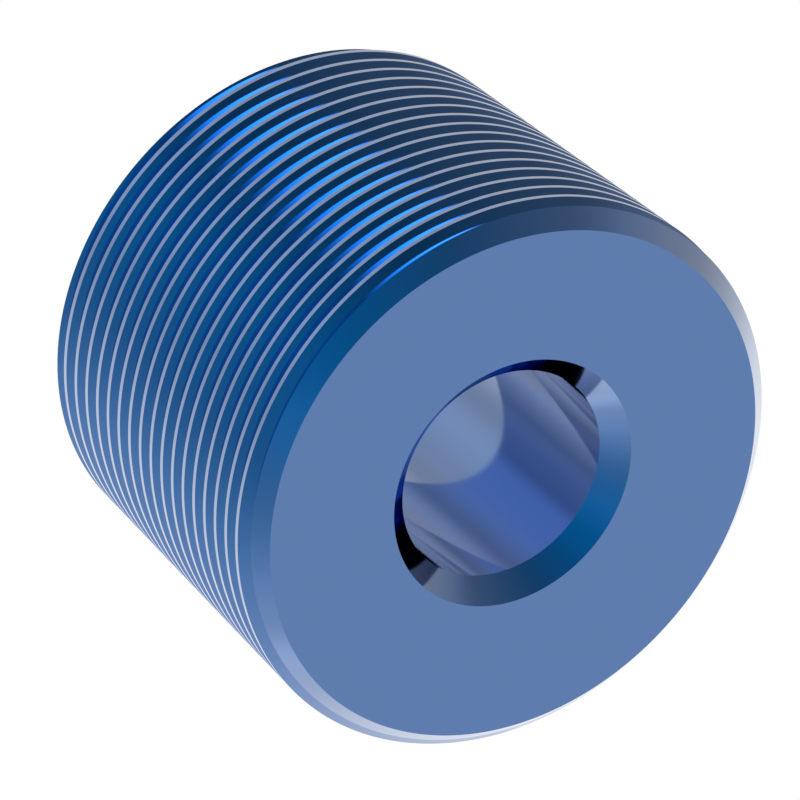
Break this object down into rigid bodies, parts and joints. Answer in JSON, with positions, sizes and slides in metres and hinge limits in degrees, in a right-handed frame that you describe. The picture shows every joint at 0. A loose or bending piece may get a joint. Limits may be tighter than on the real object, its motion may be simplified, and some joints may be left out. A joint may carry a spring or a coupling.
{
  "type": "threaded plug with a round bore",
  "caption": "Blue anodised plug with a fine right-hand thread on a tapered body, chamfered ends and a smooth round bore with a countersink at each mouth.",
  "frame": {"origin": "centre of the small end face, which the plug stands on", "axes": "+Z along the bore axis towards the large end, whose flat face and countersunk mouth are the ones the picture shows"},
  "size_m": [0.0377, 0.0378, 0.0285],
  "materials": {
    "anodised_aluminium": "smooth blue anodised, semi-gloss"
  },
  "bodies": {
    "root": {"plug_body": "anodised_aluminium"}
  },
  "joints": []
}
